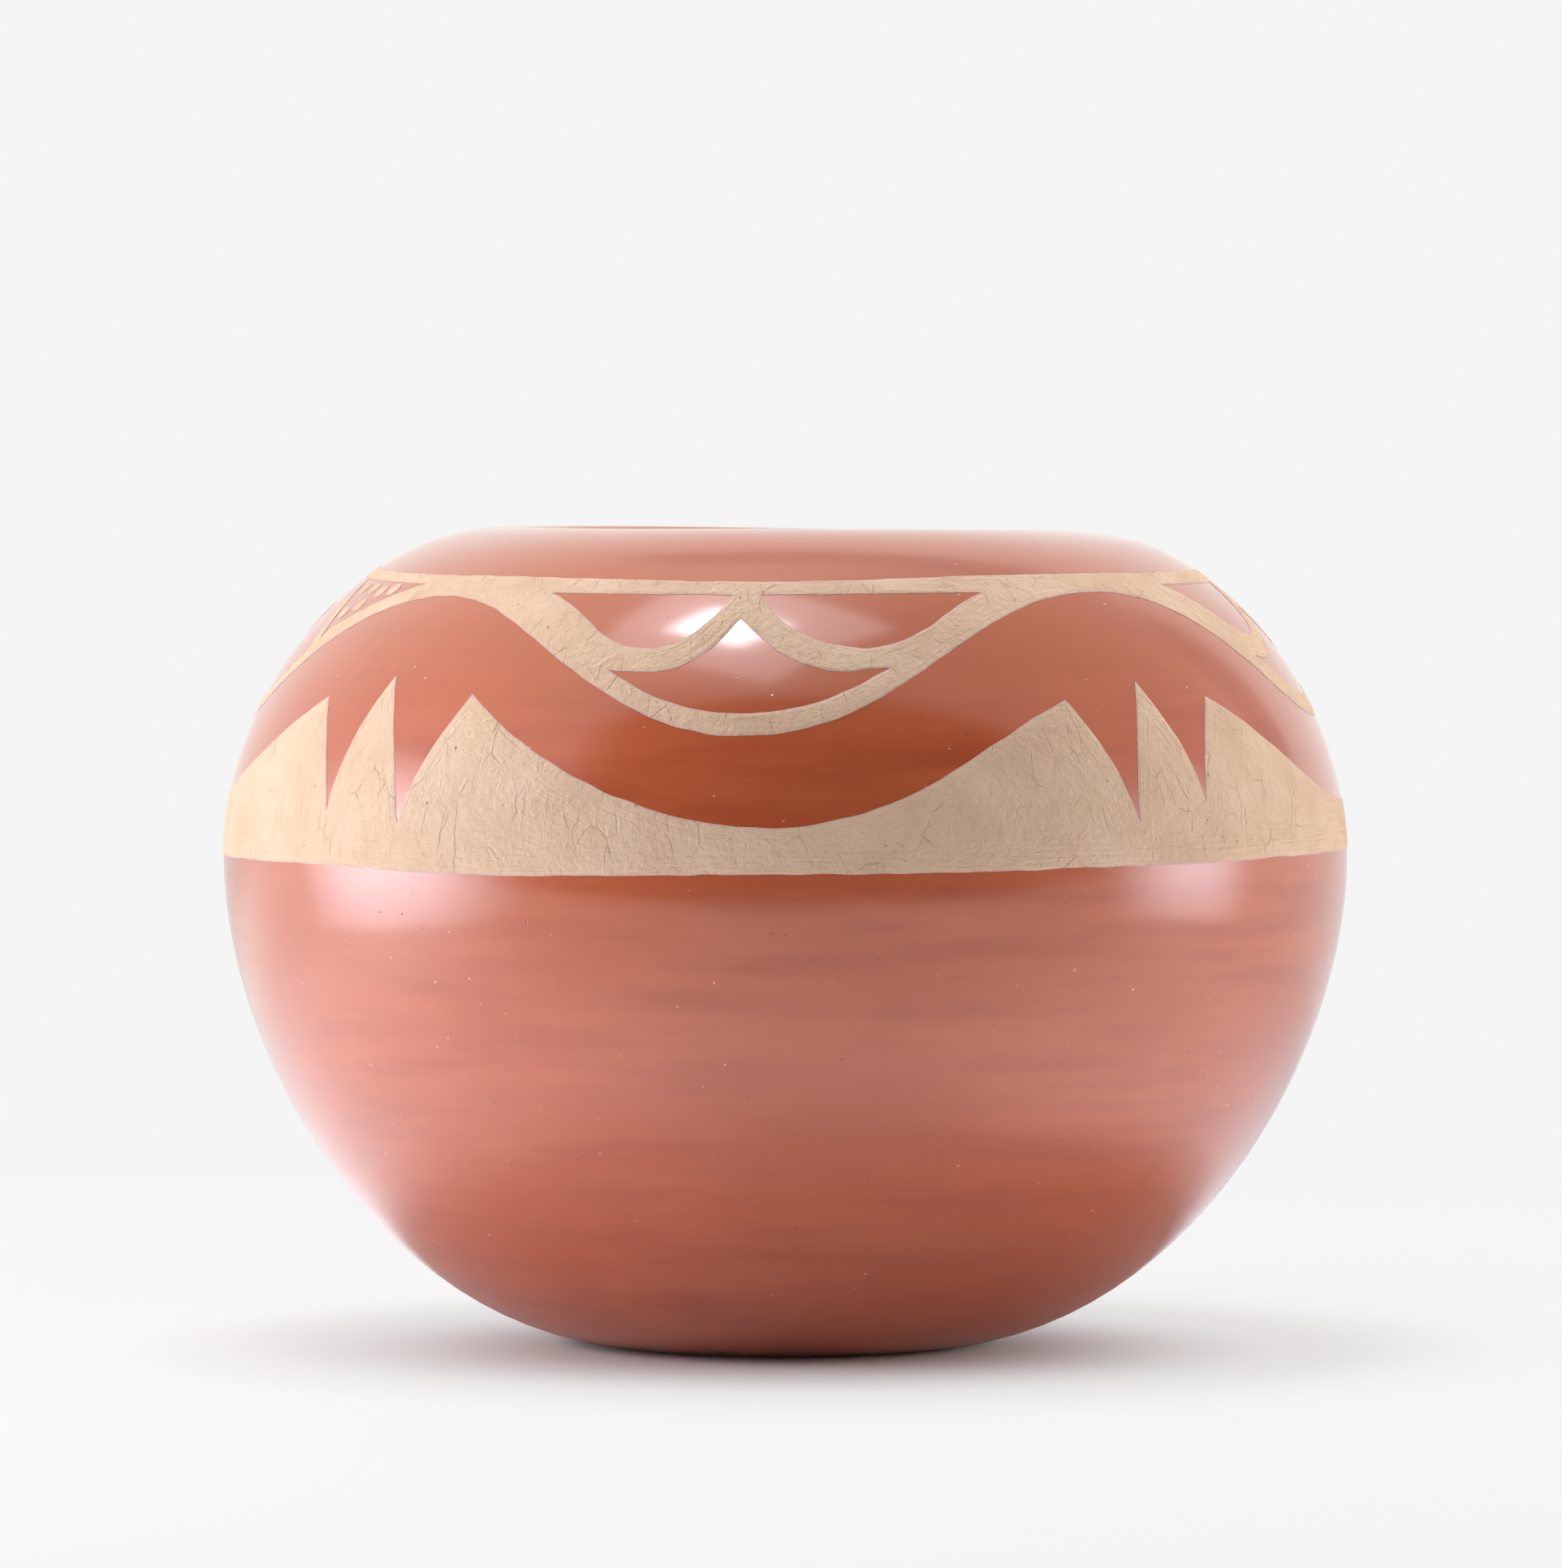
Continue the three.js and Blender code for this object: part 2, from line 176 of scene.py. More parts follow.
def settle_lip(piece):
    """Lower the far side of the lip by half a millimetre or so, more at the right than at the left."""
    for vertex in piece.data.vertices:
        across, back, height = vertex.co / MM
        radius = math.hypot(across, back)
        share = min(max((settled_radius - radius) / lip_reach, 0), 1)
        if height > belly_height and share > 0:
            away = 0.5 + 0.5 * back / radius
            sink = away * (lip_sink + lip_tilt * across / radius)
            vertex.co.z -= sink * share * share * (3 - 2 * share) * MM


clay_wall_piece = draw_profile("clay_wall", clay_bends)
spin(clay_wall_piece)
settle_lip(clay_wall_piece)
print("Clay wall faces:", len(clay_wall_piece.data.polygons))

# %% [markdown]
# ## The burnished slip coat
# The red slip goes on by brush over the whole outside and round the lip, and ends a finger's width
# inside. Its skin is spun like the wall. A bisect cuts it level just above the foot, a Displace
# modifier gives it the shallow unevenness of a wall shaped by hand, and Solidify gives it thickness.

# %% The slip coat
slip_thickness = 0.3
hand_mark_depth = 0.16
hand_mark_size = 0.034
slip_end = (49.5, 101.7)

hand_marks = bpy.data.textures.new("hand marks", type="CLOUDS")
hand_marks.noise_scale = hand_mark_size
hand_marks.noise_depth = 1

coat_under = nose_centre - nose_radius
coat_inside = lip_radius - nose_radius
nose_pull = circle_pull * nose_radius
coat_bends = [
    (foot_bend, foot_bend, bowl[1]),
    (belly_bend, bowl[2], shoulder[1]),
    (lip_bend, shoulder[2], (lip_radius - nose_pull, jar_height)),
    (
        (coat_inside, nose_centre),
        (coat_inside, nose_centre + nose_pull),
        (coat_inside, nose_centre - nose_pull),
    ),
    ((lip_radius, coat_under), (lip_radius - nose_pull, coat_under), (lip_radius + 5, coat_under)),
    (slip_end, (slip_end[0] - 5, slip_end[1] + 2.2), slip_end),
]
slip_coat = draw_profile("red_slip", coat_bends)
spin(slip_coat)
bpy.ops.object.mode_set(mode="EDIT")
bpy.ops.mesh.select_all(action="SELECT")
bpy.ops.mesh.bisect(plane_co=(0, 0, bare_foot * MM), plane_no=(0, 0, 1), clear_inner=True)
bpy.ops.object.mode_set(mode="OBJECT")


def press_by_hand(piece):
    """Sink the surface a little here and there, as fingers and the polishing stone leave it."""
    apply_modifier(
        piece, "DISPLACE", texture=hand_marks, strength=hand_mark_depth * MM, mid_level=1,
    )


settle_lip(slip_coat)
press_by_hand(slip_coat)
apply_modifier(slip_coat, "SOLIDIFY", thickness=slip_thickness * MM, offset=-1)
print("Slip coat faces:", len(slip_coat.data.polygons))

# %% [markdown]
# ## A flat map of the shoulder
# The painting is drawn flat and wrapped round the jar. A plain drawing of angle against height would
# squeeze every stroke where the shoulder turns level. A map with the same scale both ways at each
# spot, as sea charts have, keeps the width of a brush stroke and the slope of its edge.

# %% From angle and height to the flat map, and from the map to the jar
map_radius = 70
side = np.vstack([swell(bowl, 600), swell(shoulder, 600)[1:]])
side_steps = np.hypot(*np.diff(side, axis=0).T)
side_radii = (side[1:, 0] + side[:-1, 0]) / 2
side_map = np.concatenate([[0], np.cumsum(side_steps / side_radii)]) * map_radius
side_slope = np.gradient(side, axis=0)
side_slope /= np.hypot(*side_slope.T)[:, None]
full_turn = 2 * math.pi * map_radius


def to_map(points):
    """Angles in degrees and heights in millimetres as places on the flat map."""
    points = np.array(points, float).reshape(-1, 2)
    across = np.radians(points[:, 0]) * map_radius
    up = np.interp(points[:, 1], side[:, 1], side_map)
    return np.column_stack([across, up])


def on_jar(places, rise):
    """Places on the flat map as points on the jar, lifted off the slip coat by rise."""
    angle = places[:, 0] / map_radius
    radius = np.interp(places[:, 1], side_map, side[:, 0])
    height = np.interp(places[:, 1], side_map, side[:, 1])
    out = np.interp(places[:, 1], side_map, side_slope[:, 1])
    up = -np.interp(places[:, 1], side_map, side_slope[:, 0])
    far = radius + out * rise
    return np.column_stack([far * np.sin(angle), -far * np.cos(angle), height + up * rise]) * MM


print("Map height:", round(side_map[-1], 1), "mm for a turn of", round(full_turn, 1), "mm")

# %% [markdown]
# ## Laying the buff slip
# Thick slip rounds off at its edge and levels out a brush's width further in. Each painted shape is
# cut into small triangles with rows of points that follow its outline, and every point is lifted by
# its distance from that outline. No modelling operator fills an outline in that way on a curved wall,
# so the sheet is made from its points. Solidify then closes it into a thin solid. The outlines and
# the depth wander a little, as a hand does, and the noise has a fixed seed, so every run is the same.

# %% Lay one painted shape
paint_rise = 0.11
paint_edge_rise = 0.02
paint_shoulder = 0.6
paint_bed = 0.1
outline_step = 0.6
edge_rows = [0.14, 0.32, 0.58]
inner_step = 1.15
hand_wander = 0.16
wander_size = 3.2
heap_size = 7.5
least_heap = 0.86
heap_swing = 0.2
close_step = 0.07
smooth_angle = 40
hand_seed = 7
noise.seed_set(hand_seed)


def noise_place(across, up, size):
    """A place in noise space for a place on the map, which meets itself after a full turn."""
    angle = across / map_radius
    return Vector((math.sin(angle) * map_radius, math.cos(angle) * map_radius, up)) / size


def unsteady(line):
    """The same line as a steady but human hand draws it, a tenth of a millimetre off here and there."""
    shifts = [noise.noise_vector(noise_place(across, up, wander_size)) for across, up in line]
    return line + np.array([(shift.x, shift.y) for shift in shifts]) * hand_wander


def walk(line, step, closed):
    """The same line with points at even steps."""
    line = np.vstack([line, line[:1]]) if closed else line
    lengths = np.hypot(*np.diff(line, axis=0).T)
    reach = np.concatenate([[0], np.cumsum(lengths)])
    count = max(3, round(reach[-1] / step))
    places = np.linspace(0, reach[-1], count + 1)
    even = np.column_stack([np.interp(places, reach, line[:, axis]) for axis in (0, 1)])
    return even[:-1] if closed else even


def trace(strokes):
    """Join strokes on the map at even steps, with a point at each corner where two of them meet."""
    return np.vstack([walk(stroke, outline_step, False)[:-1] for stroke in strokes])


def inside(places, loops):
    """Which places lie within the loops: inside an odd number of them."""
    odd = np.zeros(len(places), bool)
    for loop in loops:
        for (x1, y1), (x2, y2) in zip(loop, np.roll(loop, -1, axis=0)):
            if y1 == y2:
                continue
            spans = (places[:, 1] >= min(y1, y2)) & (places[:, 1] < max(y1, y2))
            cross = x1 + (places[:, 1] - y1) * (x2 - x1) / (y2 - y1)
            odd ^= spans & (places[:, 0] < cross)
    return odd


def edge_finder(lines):
    """A search tree over close points on the painted edges, and on their copies a turn away."""
    close = np.vstack([walk(line, close_step, False) for line in lines])
    close = np.vstack([close + (turn * full_turn, 0) for turn in (-1, 0, 1)])
    tree = kdtree.KDTree(len(close))
    for index, (across, up) in enumerate(close):
        tree.insert((across, up, 0), index)
    tree.balance()
    return tree


def distances(tree, places):
    """How far each place is from the painted edges, in millimetres."""
    return np.array([tree.find((across, up, 0))[2] for across, up in places])


def lay_slip(name, loops, edges, step=inner_step, rise_of_slip=paint_rise):
    """A thin solid of slip within the loops, rounded off along the edges, which leave out a seam."""
    loops = [unsteady(loop) for loop in loops]
    tree = edge_finder([unsteady(edge) for edge in edges])
    corners = np.vstack(loops)
    ties = []
    first = 0
    for loop in loops:
        last = first + len(loop) - 1
        ties += [(index, index + 1) for index in range(first, last)] + [(last, first)]
        first = last + 1

    rows = []
    for loop in loops:
        ahead = np.roll(loop, -1, axis=0) - np.roll(loop, 1, axis=0)
        ahead /= np.hypot(*ahead.T)[:, None]
        across = np.column_stack([-ahead[:, 1], ahead[:, 0]])
        for row in edge_rows:
            for way in (-1, 1):
                candidates = loop + across * row * way
                rows.append(candidates[distances(tree, candidates) > row * 0.9])
    low, high = corners.min(0), corners.max(0)
    ups = np.arange(low[1], high[1], step * math.sqrt(3) / 2)
    grid = np.array([
        (across + (row % 2) * step / 2, up)
        for row, up in enumerate(ups)
        for across in np.arange(low[0] + step / 2, high[0] - step / 2, step)
    ]).reshape(-1, 2)
    rows.append(grid[distances(tree, grid) > edge_rows[-1] + step / 3])
    fill = np.vstack(rows)
    seam_gap = step / 4
    fill = fill[(fill[:, 0] > low[0] + seam_gap) & (fill[:, 0] < high[0] - seam_gap)]
    fill = fill[inside(fill, loops)]

    points = [Vector(place) for place in np.vstack([corners, fill])]
    places, _, faces, *_ = geometry.delaunay_2d_cdt(points, ties, [], 0, 1e-5)
    places = np.array([tuple(place) for place in places])
    faces = np.array(faces)
    faces = faces[inside(places[faces].mean(axis=1), loops)]

    reach = distances(tree, places)
    level = np.clip(reach / min(paint_shoulder, max(reach.max(), 0.1)), 0, 1)
    heap = np.array([noise.noise(noise_place(across, up, heap_size)) for across, up in places])
    full = rise_of_slip * (least_heap + heap_swing * heap)
    rise = paint_edge_rise + (full - paint_edge_rise) * level * (2 - level)

    mesh = bpy.data.meshes.new(name)
    mesh.from_pydata(on_jar(places, rise).tolist(), [], faces.tolist())
    for label, values in (("slip_depth", level), ("edge_distance", reach)):
        field = mesh.attributes.new(label, "FLOAT", "POINT")
        field.data.foreach_set("value", values.astype(np.float32))
    sheet = mesh.uv_layers.new(name="chart")
    chart = np.array([places[loop.vertex_index] for loop in mesh.loops]) / map_radius
    sheet.data.foreach_set("uv", chart.astype(np.float32).ravel())
    piece = bpy.data.objects.new(name, mesh)
    bpy.context.scene.collection.objects.link(piece)

    bpy.ops.object.select_all(action="DESELECT")
    piece.select_set(True)
    bpy.context.view_layer.objects.active = piece
    bpy.ops.object.mode_set(mode="EDIT")
    bpy.ops.mesh.select_all(action="SELECT")
    bpy.ops.mesh.remove_doubles(threshold=0.002 * MM)
    bpy.ops.object.mode_set(mode="OBJECT")
    bpy.ops.object.shade_smooth()
    press_by_hand(piece)
    apply_modifier(piece, "SOLIDIFY", thickness=paint_bed * MM, offset=-1)
    bpy.ops.object.shade_smooth_by_angle(angle=math.radians(smooth_angle))
    print(name, "faces:", len(piece.data.polygons))
    return piece


# %% [markdown]
# ## The outlines
# A painter draws the bands with a few long strokes: a level line, a wave below it, scallops hung
# between them, and fans of feathers on a level hem. Each stroke is given here by the places where it
# turns and by its pulls there, in degrees round the jar and millimetres above the table. The side
# that faces the camera is drawn first, and its clouds are stretched to fit the panels that don't show.

# %% Strokes of the upper band
steps_of_stroke = 40
crests = [
    {"angle": -142, "line": 104.7, "wave": 101.7, "lead": 22, "trail": 21},
    {"angle": -48, "line": 104.2, "wave": 101.5, "lead": 21, "trail": 18.5},
    {"angle": 44, "line": 104.45, "wave": 102.1, "lead": 26.5, "trail": 20.5},
    {"angle": 124, "line": 104.6, "wave": 101.9, "lead": 20, "trail": 21},
    {"angle": 218, "line": 104.7, "wave": 101.7, "lead": 22, "trail": 21},
]
troughs = [
    {"angle": -92, "line": 104.9, "wave": 84.3, "lead": 17, "trail": 16},
    {"angle": -5, "line": 103.6, "wave": 84, "lead": 14, "trail": 18},
    {"angle": 83, "line": 104.6, "wave": 85, "lead": 17, "trail": 17},
    {"angle": 171, "line": 104.5, "wave": 84.3, "lead": 18, "trail": 18},
]


def curve(*points):
    return to_map(swell(points, steps_of_stroke))


def straight(start, end):
    return to_map([start, end])


def bow(start, end, bulge):
    """A stroke that bows to the right by bulge degrees, or to the left where it is below 0."""
    pull = ((start[0] + end[0]) / 2 + bulge, (start[1] + end[1]) / 2)
    first = [start[axis] + (pull[axis] - start[axis]) * 2 / 3 for axis in (0, 1)]
    second = [end[axis] + (pull[axis] - end[axis]) * 2 / 3 for axis in (0, 1)]
    return curve(start, first, second, end)


def sweep(start, start_reach, end, end_reach):
    """A stroke that leaves one bend level and comes level into the next."""
    way = math.copysign(1, end[0] - start[0])
    return curve(start, (start[0] + way * start_reach, start[1]), (end[0] - way * end_reach, end[1]), end)


def around(key):
    """One edge of the upper band, from its first crest to its last."""
    strokes = []
    for left, trough, right in zip(crests, troughs, crests[1:]):
        strokes.append(sweep(
            (left["angle"], left[key]), left["trail"],
            (trough["angle"], trough[key]), trough["lead"],
        ))
        strokes.append(sweep(
            (trough["angle"], trough[key]), trough["trail"],
            (right["angle"], right[key]), right["lead"],
        ))
    return strokes


# %% The clouds that face the camera
cloud_shapes = [
    [
        [(-31, 102.1), (-22.8, 99.4), (-22.2, 95.15), (-16, 95.15)],
        [(-16, 95.15), (-12.5, 95.15), (-10, 96.87), (-6.7, 101.9)],
        [(-6.7, 101.9), (-31, 102.1)],
    ],
    [
        [(-19.8, 92.35), (-16.1, 90.2), (-12, 86.9), (-4.5, 86.9)],
        [(-4.5, 86.9), (1.8, 86.9), (6.3, 89.4), (11.6, 92.75)],
        [(11.6, 92.75), (7, 92.2)],
        [(7, 92.2), (0.9, 92.2), (-2, 95.7), (-5.3, 98.9)],
        [(-5.3, 98.9), (-6.9, 97.5), (-9.1, 92), (-16, 92)],
        [(-16, 92), (-19.8, 92.35)],
    ],
    [
        [(-3, 101.9), (-0.5, 97.4), (4.6, 95.2), (9, 95.2)],
        [(9, 95.2), (15.4, 95.2), (18.5, 100.03), (25.8, 102.15)],
        [(25.8, 102.15), (-3, 101.9)],
    ],
]


def stretch(point, panel):
    """A point of the front panel's clouds, moved to the same share of the way in another panel."""
    middle, left, right = troughs[panel], crests[panel], crests[panel + 1]
    own_middle, own_left, own_right = troughs[1], crests[1], crests[2]
    away = point[0] - own_middle["angle"]
    own_end, end = (own_left, left) if away < 0 else (own_right, right)
    share = away / (own_end["angle"] - own_middle["angle"])
    angle = middle["angle"] + share * (end["angle"] - middle["angle"])
    depth = (own_middle["line"] - point[1]) / (own_middle["line"] - own_middle["wave"])
    line = middle["line"] + share * share * (end["line"] - middle["line"])
    own_line = own_middle["line"] + share * share * (own_end["line"] - own_middle["line"])
    lift = (line - own_line) * (1 - depth) + (middle["wave"] - own_middle["wave"]) * depth
    return (angle, point[1] + lift)


def cloud_loops(panel):
    loops = []
    for shape in cloud_shapes:
        strokes = []
        for stroke in shape:
            moved = [stretch(point, panel) for point in stroke]
            strokes.append(curve(*moved) if len(moved) == 4 else straight(*moved))
        loops.append(trace(strokes))
    return loops


# %% The dotted panel at the left
rain_middle = troughs[0]["angle"]
rain_bow = 2.2
corner_slope = [(36.7, 103), (34.4, 103), (18.2, 96.8), (19.3, 95.3)]
corner_head = (13.3, 103.4)
leaf_head = (11.7, 103.6)
leaf_slope = [(17.7, 94.1), (13.3, 89.9), (8.9, 87.2), (0, 87.2)]


def from_middle(points, way):
    """Points given by their angle from the panel's middle, to its right or, where way is -1, its left."""
    return [(rain_middle + way * angle, height) for angle, height in points]


def rain_loops():
    """The two dotted corners of the panel, and the leaf between them."""
    loops = []
    for way in (-1, 1):
        slope = from_middle(corner_slope, way)
        head, = from_middle([corner_head], way)
        loops.append(trace([
            curve(*slope),
            bow(slope[-1], head, way * rain_bow),
            straight(head, slope[0]),
        ]))
    left_head, *left_slope = from_middle([leaf_head, *leaf_slope], -1)
    right_head, *right_slope = from_middle([leaf_head, *leaf_slope], 1)
    loops.append(trace([
        bow(left_head, left_slope[0], -rain_bow),
        curve(*left_slope),
        curve(*right_slope[::-1]),
        bow(right_slope[0], right_head, rain_bow),
        straight(right_head, left_head),
    ]))
    return loops


# %% Lay the upper band
def ring_loop(top, bottom):
    """Close the strokes along a ring's top and bottom into one loop, with a seam at each end."""
    top_line = walk(np.vstack([stroke[:-1] for stroke in top] + [top[-1][-1:]]), outline_step, False)
    bottom_pieces = [walk(stroke, outline_step, False)[:-1] for stroke in bottom]
    bottom_line = np.vstack(bottom_pieces + [bottom[-1][-1:]])
    top_line[-1] = top_line[0] + (full_turn, 0)
    bottom_line[-1] = bottom_line[0] + (full_turn, 0)
    rise = walk(np.vstack([bottom_line[:1], top_line[:1]]), outline_step, False)[1:-1]
    loop = np.vstack([top_line, (rise + (full_turn, 0))[::-1], bottom_line[::-1], rise])
    return loop, top_line, bottom_line


upper_ring, upper_top, upper_bottom = ring_loop(around("line"), around("wave"))
holes = rain_loops() + cloud_loops(1) + cloud_loops(2) + cloud_loops(3)
closed_holes = [np.vstack([hole, hole[:1]]) for hole in holes]
upper_band = lay_slip("buff_upper_band", [upper_ring, *holes], [upper_top, upper_bottom, *closed_holes])

# %% Strokes of the lower band
hollows = [
    {"angle": -189, "height": 73.3},
    {"angle": -92, "height": 74.7},
    {"angle": -2, "height": 72.4},
    {"angle": 86, "height": 73.7},
    {"angle": 171, "height": 73.3},
]
fans = [
    {
        "left": [(-174, 73.3), (-165.4, 81.8)],
        "points": [(-154.9, 88.4), (-148.7, 72.6), (-144.6, 90.5), (-139.2, 74.8), (-134.2, 88.5)],
        "right": [(-121.7, 81.2), (-106, 74.7)],
    },
    {
        "left": [(-76.1, 74.8), (-68.9, 82.7)],
        "points": [(-59.2, 88.2), (-52.8, 73.6), (-48.2, 91.3), (-41.9, 72.3), (-35.6, 89)],
        "right": [(-25.6, 80.8), (-14.1, 72.4)],
    },
    {
        "left": [(11.9, 72.4), (18.8, 82.9)],
        "points": [(31.1, 88.4), (37.3, 72.6), (41.4, 90.5), (46.8, 74.8), (51.8, 88.5)],
        "right": [(64.3, 81.2), (68, 73.7)],
    },
    {
        "left": [(103, 73.7), (102.3, 81.8)],
        "points": [(112.8, 88.2), (119.2, 73.6), (123.8, 91.3), (130.1, 72.3), (136.4, 89)],
        "right": [(146.4, 80.8), (156, 73.3)],
    },
]
hem_heights = [
    (-189, 66.5), (-140, 66.3), (-92, 66.1), (-57, 66.45), (-30, 65.95), (0, 66.45),
    (44, 66.95), (60, 67.2), (86, 67.1), (124, 66.9), (171, 66.5),
]
feather_bow = 1.6


def fan_edge():
    strokes = []
    for left, fan, right in zip(hollows, fans, hollows[1:]):
        first, cleft, second, second_cleft, third = fan["points"]
        strokes += [
            curve((left["angle"], left["height"]), *fan["left"], first),
            bow(first, cleft, feather_bow),
            bow(cleft, second, -feather_bow),
            bow(second, second_cleft, feather_bow),
            bow(second_cleft, third, -feather_bow),
            curve(third, *fan["right"], (right["angle"], right["height"])),
        ]
    return strokes


def hem_edge():
    strokes = []
    for (left, low), (right, high) in zip(hem_heights, hem_heights[1:]):
        third = (right - left) / 3
        strokes.append(curve((left, low), (left + third, low), (right - third, high), (right, high)))
    return strokes


lower_ring, lower_bottom, lower_top = ring_loop(hem_edge(), fan_edge())
lower_band = lay_slip("buff_lower_band", [lower_ring], [lower_top, lower_bottom])

# %% [markdown]
# ## Dabs of slip
# The dots in the dotted panel are touches of a loaded brush, small and domed. Each lies on a slope of
# its own, so none is a copy: each is laid from its own round outline, as the bands are.

# %% Rain dabs and the drop
dab_places = [(29.5, 102.2), (26.2, 101.9), (22.5, 102.2), (18.4, 102.2), (23.6, 100.1), (20.1, 99)]
dab_size = (1.18, 0.8)
dab_rise = 0.06
drop_place = (2.5, 98.1)
drop_size = (1.5, 2.2)
dab_sides = 26
dab_step = 0.5


def dab(name, place, size):
    turn = np.linspace(0, 2 * math.pi, dab_sides, endpoint=False)
    outline = np.column_stack([place[0] + size[0] * np.cos(turn), place[1] + size[1] * np.sin(turn)])
    loop = to_map(outline)
    return lay_slip(name, [loop], [np.vstack([loop, loop[:1]])], step=dab_step, rise_of_slip=dab_rise)


dabs = {}
for half, way in enumerate((1, -1)):
    for index, (angle, height) in enumerate(dab_places):
        number = half * len(dab_places) + index + 1
        place = (rain_middle + way * angle, height)
        dabs[f"rain_dab_{number:02d}"] = dab(f"buff_dab_{number:02d}", place, dab_size)
dabs["rain_drop"] = dab("buff_drop", (rain_middle + drop_place[0], drop_place[1]), drop_size)

# %% [markdown]
# ## Finishes
# Colours are written as hex values and turned to linear light. One helper adds a node with its
# settings and links, and the rest is plain lists of what goes into what. A node that is named as an
# input stands for its first output.

# %% Colour and node helpers
def shade(code, alpha=1.0):
    """A hex colour in linear light."""
    channels = [int(code[place:place + 2], 16) / 255 for place in (1, 3, 5)]
    linear = [value / 12.92 if value <= 0.04045 else ((value + 0.055) / 1.055) ** 2.4 for value in channels]
    return (*linear, alpha)


def add(tree, kind, inputs=None, stops=None, **settings):
    """One node with its settings. An input is a value, a socket, or a node for its first output."""
    node = tree.nodes.new("ShaderNode" + kind)
    for name, value in settings.items():
        setattr(node, name, value)
    for name, value in (inputs or {}).items():
        source = value.outputs[0] if isinstance(value, bpy.types.Node) else value
        if isinstance(source, bpy.types.NodeSocket):
            tree.links.new(source, node.inputs[name])
        else:
            node.inputs[name].default_value = value
    if stops:
        ramp = node.color_ramp
        while len(ramp.elements) < len(stops):
            ramp.elements.new(0.5)
        for element, (position, colour) in zip(ramp.elements, stops):
            element.position = position
            element.color = colour
    return node


def new_material(name):
    material = bpy.data.materials.new(name)
    material.use_nodes = True
    material.node_tree.nodes.clear()
    return material, material.node_tree


def grey(value):
    return (value, value, value, 1)


eased = {"interpolation_type": "SMOOTHSTEP"}


def per(size):
    """The scale at which a pattern on metres repeats every size millimetres."""
    return 1 / (size * MM)


# %% [markdown]
# ### Burnished red slip
# The slip is a fine iron-rich clay, rubbed with a smooth stone before the fire. It is glossy but not
# glazed: a broad dull shine lies under a sharper one. The shader's coat gives the sharper one, which
# grows weak towards the foot, where the stone hardly reached. Long level strokes of the stone change
# the colour and the gloss a little, and the shoulder is slightly more orange. Grit leaves pale and
# dark specks in small pits, a few orange scuffs show, and a faint unevenness ruffles the shine.
# Strokes are drawn in a space turned to angle and height, so that they run round the jar.

# %% Burnished red slip
def wrapped_space(tree, length, width):
    """Object coordinates turned to a place round the jar and up it, in strokes length by width."""
    place = add(tree, "TexCoord").outputs["Object"]
    parts = add(tree, "SeparateXYZ", {"Vector": place})
    flat = add(tree, "CombineXYZ", {"X": parts.outputs["X"], "Y": parts.outputs["Y"], "Z": 0.0})
    ring = add(tree, "VectorMath", {0: flat}, operation="NORMALIZE")
    ring = add(tree, "VectorMath", {0: ring, "Scale": belly_radius / length}, operation="SCALE")
    up = add(tree, "Math", {0: parts.outputs["Z"], 1: per(width)}, operation="MULTIPLY")
    height = add(tree, "CombineXYZ", {"Z": up})
    return add(tree, "VectorMath", {0: ring, 1: height}, operation="ADD")


red_slip, tree = new_material("burnished red slip")
place = add(tree, "TexCoord").outputs["Object"]
long_strokes = add(tree, "TexNoise", {
    "Vector": wrapped_space(tree, 28, 3.0), "Scale": 1.0, "Detail": 3.0, "Roughness": 0.45,
})
clouds = add(tree, "TexNoise", {"Vector": wrapped_space(tree, 42, 22), "Scale": 1.0, "Detail": 4.0})
base = add(tree, "ValToRGB", {"Fac": long_strokes}, stops=[
    (0.34, shade("#B05130")),
    (0.5, shade("#BA5A35")),
    (0.68, shade("#BE5E38")),
])
warm = add(tree, "Mix", {
    "Factor": add(tree, "MapRange", {"Value": clouds, "From Min": 0.4, "From Max": 0.66, "To Max": 0.9}),
    "A": base,
    "B": shade("#B2522C"),
}, data_type="RGBA")
height = add(tree, "SeparateXYZ", {"Vector": place}).outputs["Z"]
shoulder_share = add(tree, "MapRange", {
    "Value": height, "From Min": 82 * MM, "From Max": 97 * MM, "To Max": 0.8,
}, **eased)
toned = add(tree, "Mix", {
    "Factor": shoulder_share, "A": warm.outputs[2], "B": shade("#B2582E"),
}, data_type="RGBA")
specks = add(tree, "TexVoronoi", {"Vector": place, "Scale": per(1.5)})
speck_pick = add(tree, "SeparateColor", {"Color": specks.outputs["Color"]})
speck_reach = add(tree, "MapRange", {"Value": speck_pick.outputs[1], "To Min": 0.035, "To Max": 0.16})
speck_size = add(tree, "MapRange", {
    "Value": specks,
    "From Min": 0.02, "From Max": speck_reach, "To Min": 1.0, "To Max": 0.0,
})
speck_few = add(tree, "Math", {0: speck_pick, 1: 0.76}, operation="GREATER_THAN")
speck_pale = add(tree, "Math", {0: speck_pick.outputs[2], 1: 0.45}, operation="GREATER_THAN")
speck_colour = add(tree, "Mix", {
    "Factor": speck_pale, "A": shade("#7C3A28"), "B": shade("#E6BFA8"),
}, data_type="RGBA")
speck_mask = add(tree, "Math", {0: speck_size, 1: speck_few}, operation="MULTIPLY")
speckled = add(tree, "Mix", {
    "Factor": speck_mask, "A": toned.outputs[2], "B": speck_colour.outputs[2],
}, data_type="RGBA")
scuffs = add(tree, "TexNoise", {
    "Vector": wrapped_space(tree, 1.9, 1.0), "Scale": 1.0, "Detail": 5.0, "Roughness": 0.8,
})
scuff_line = add(tree, "MapRange", {"Value": scuffs, "From Min": 0.58, "From Max": 0.68})
scuff_area = add(tree, "TexNoise", {"Vector": wrapped_space(tree, 9, 5), "Scale": 1.0})
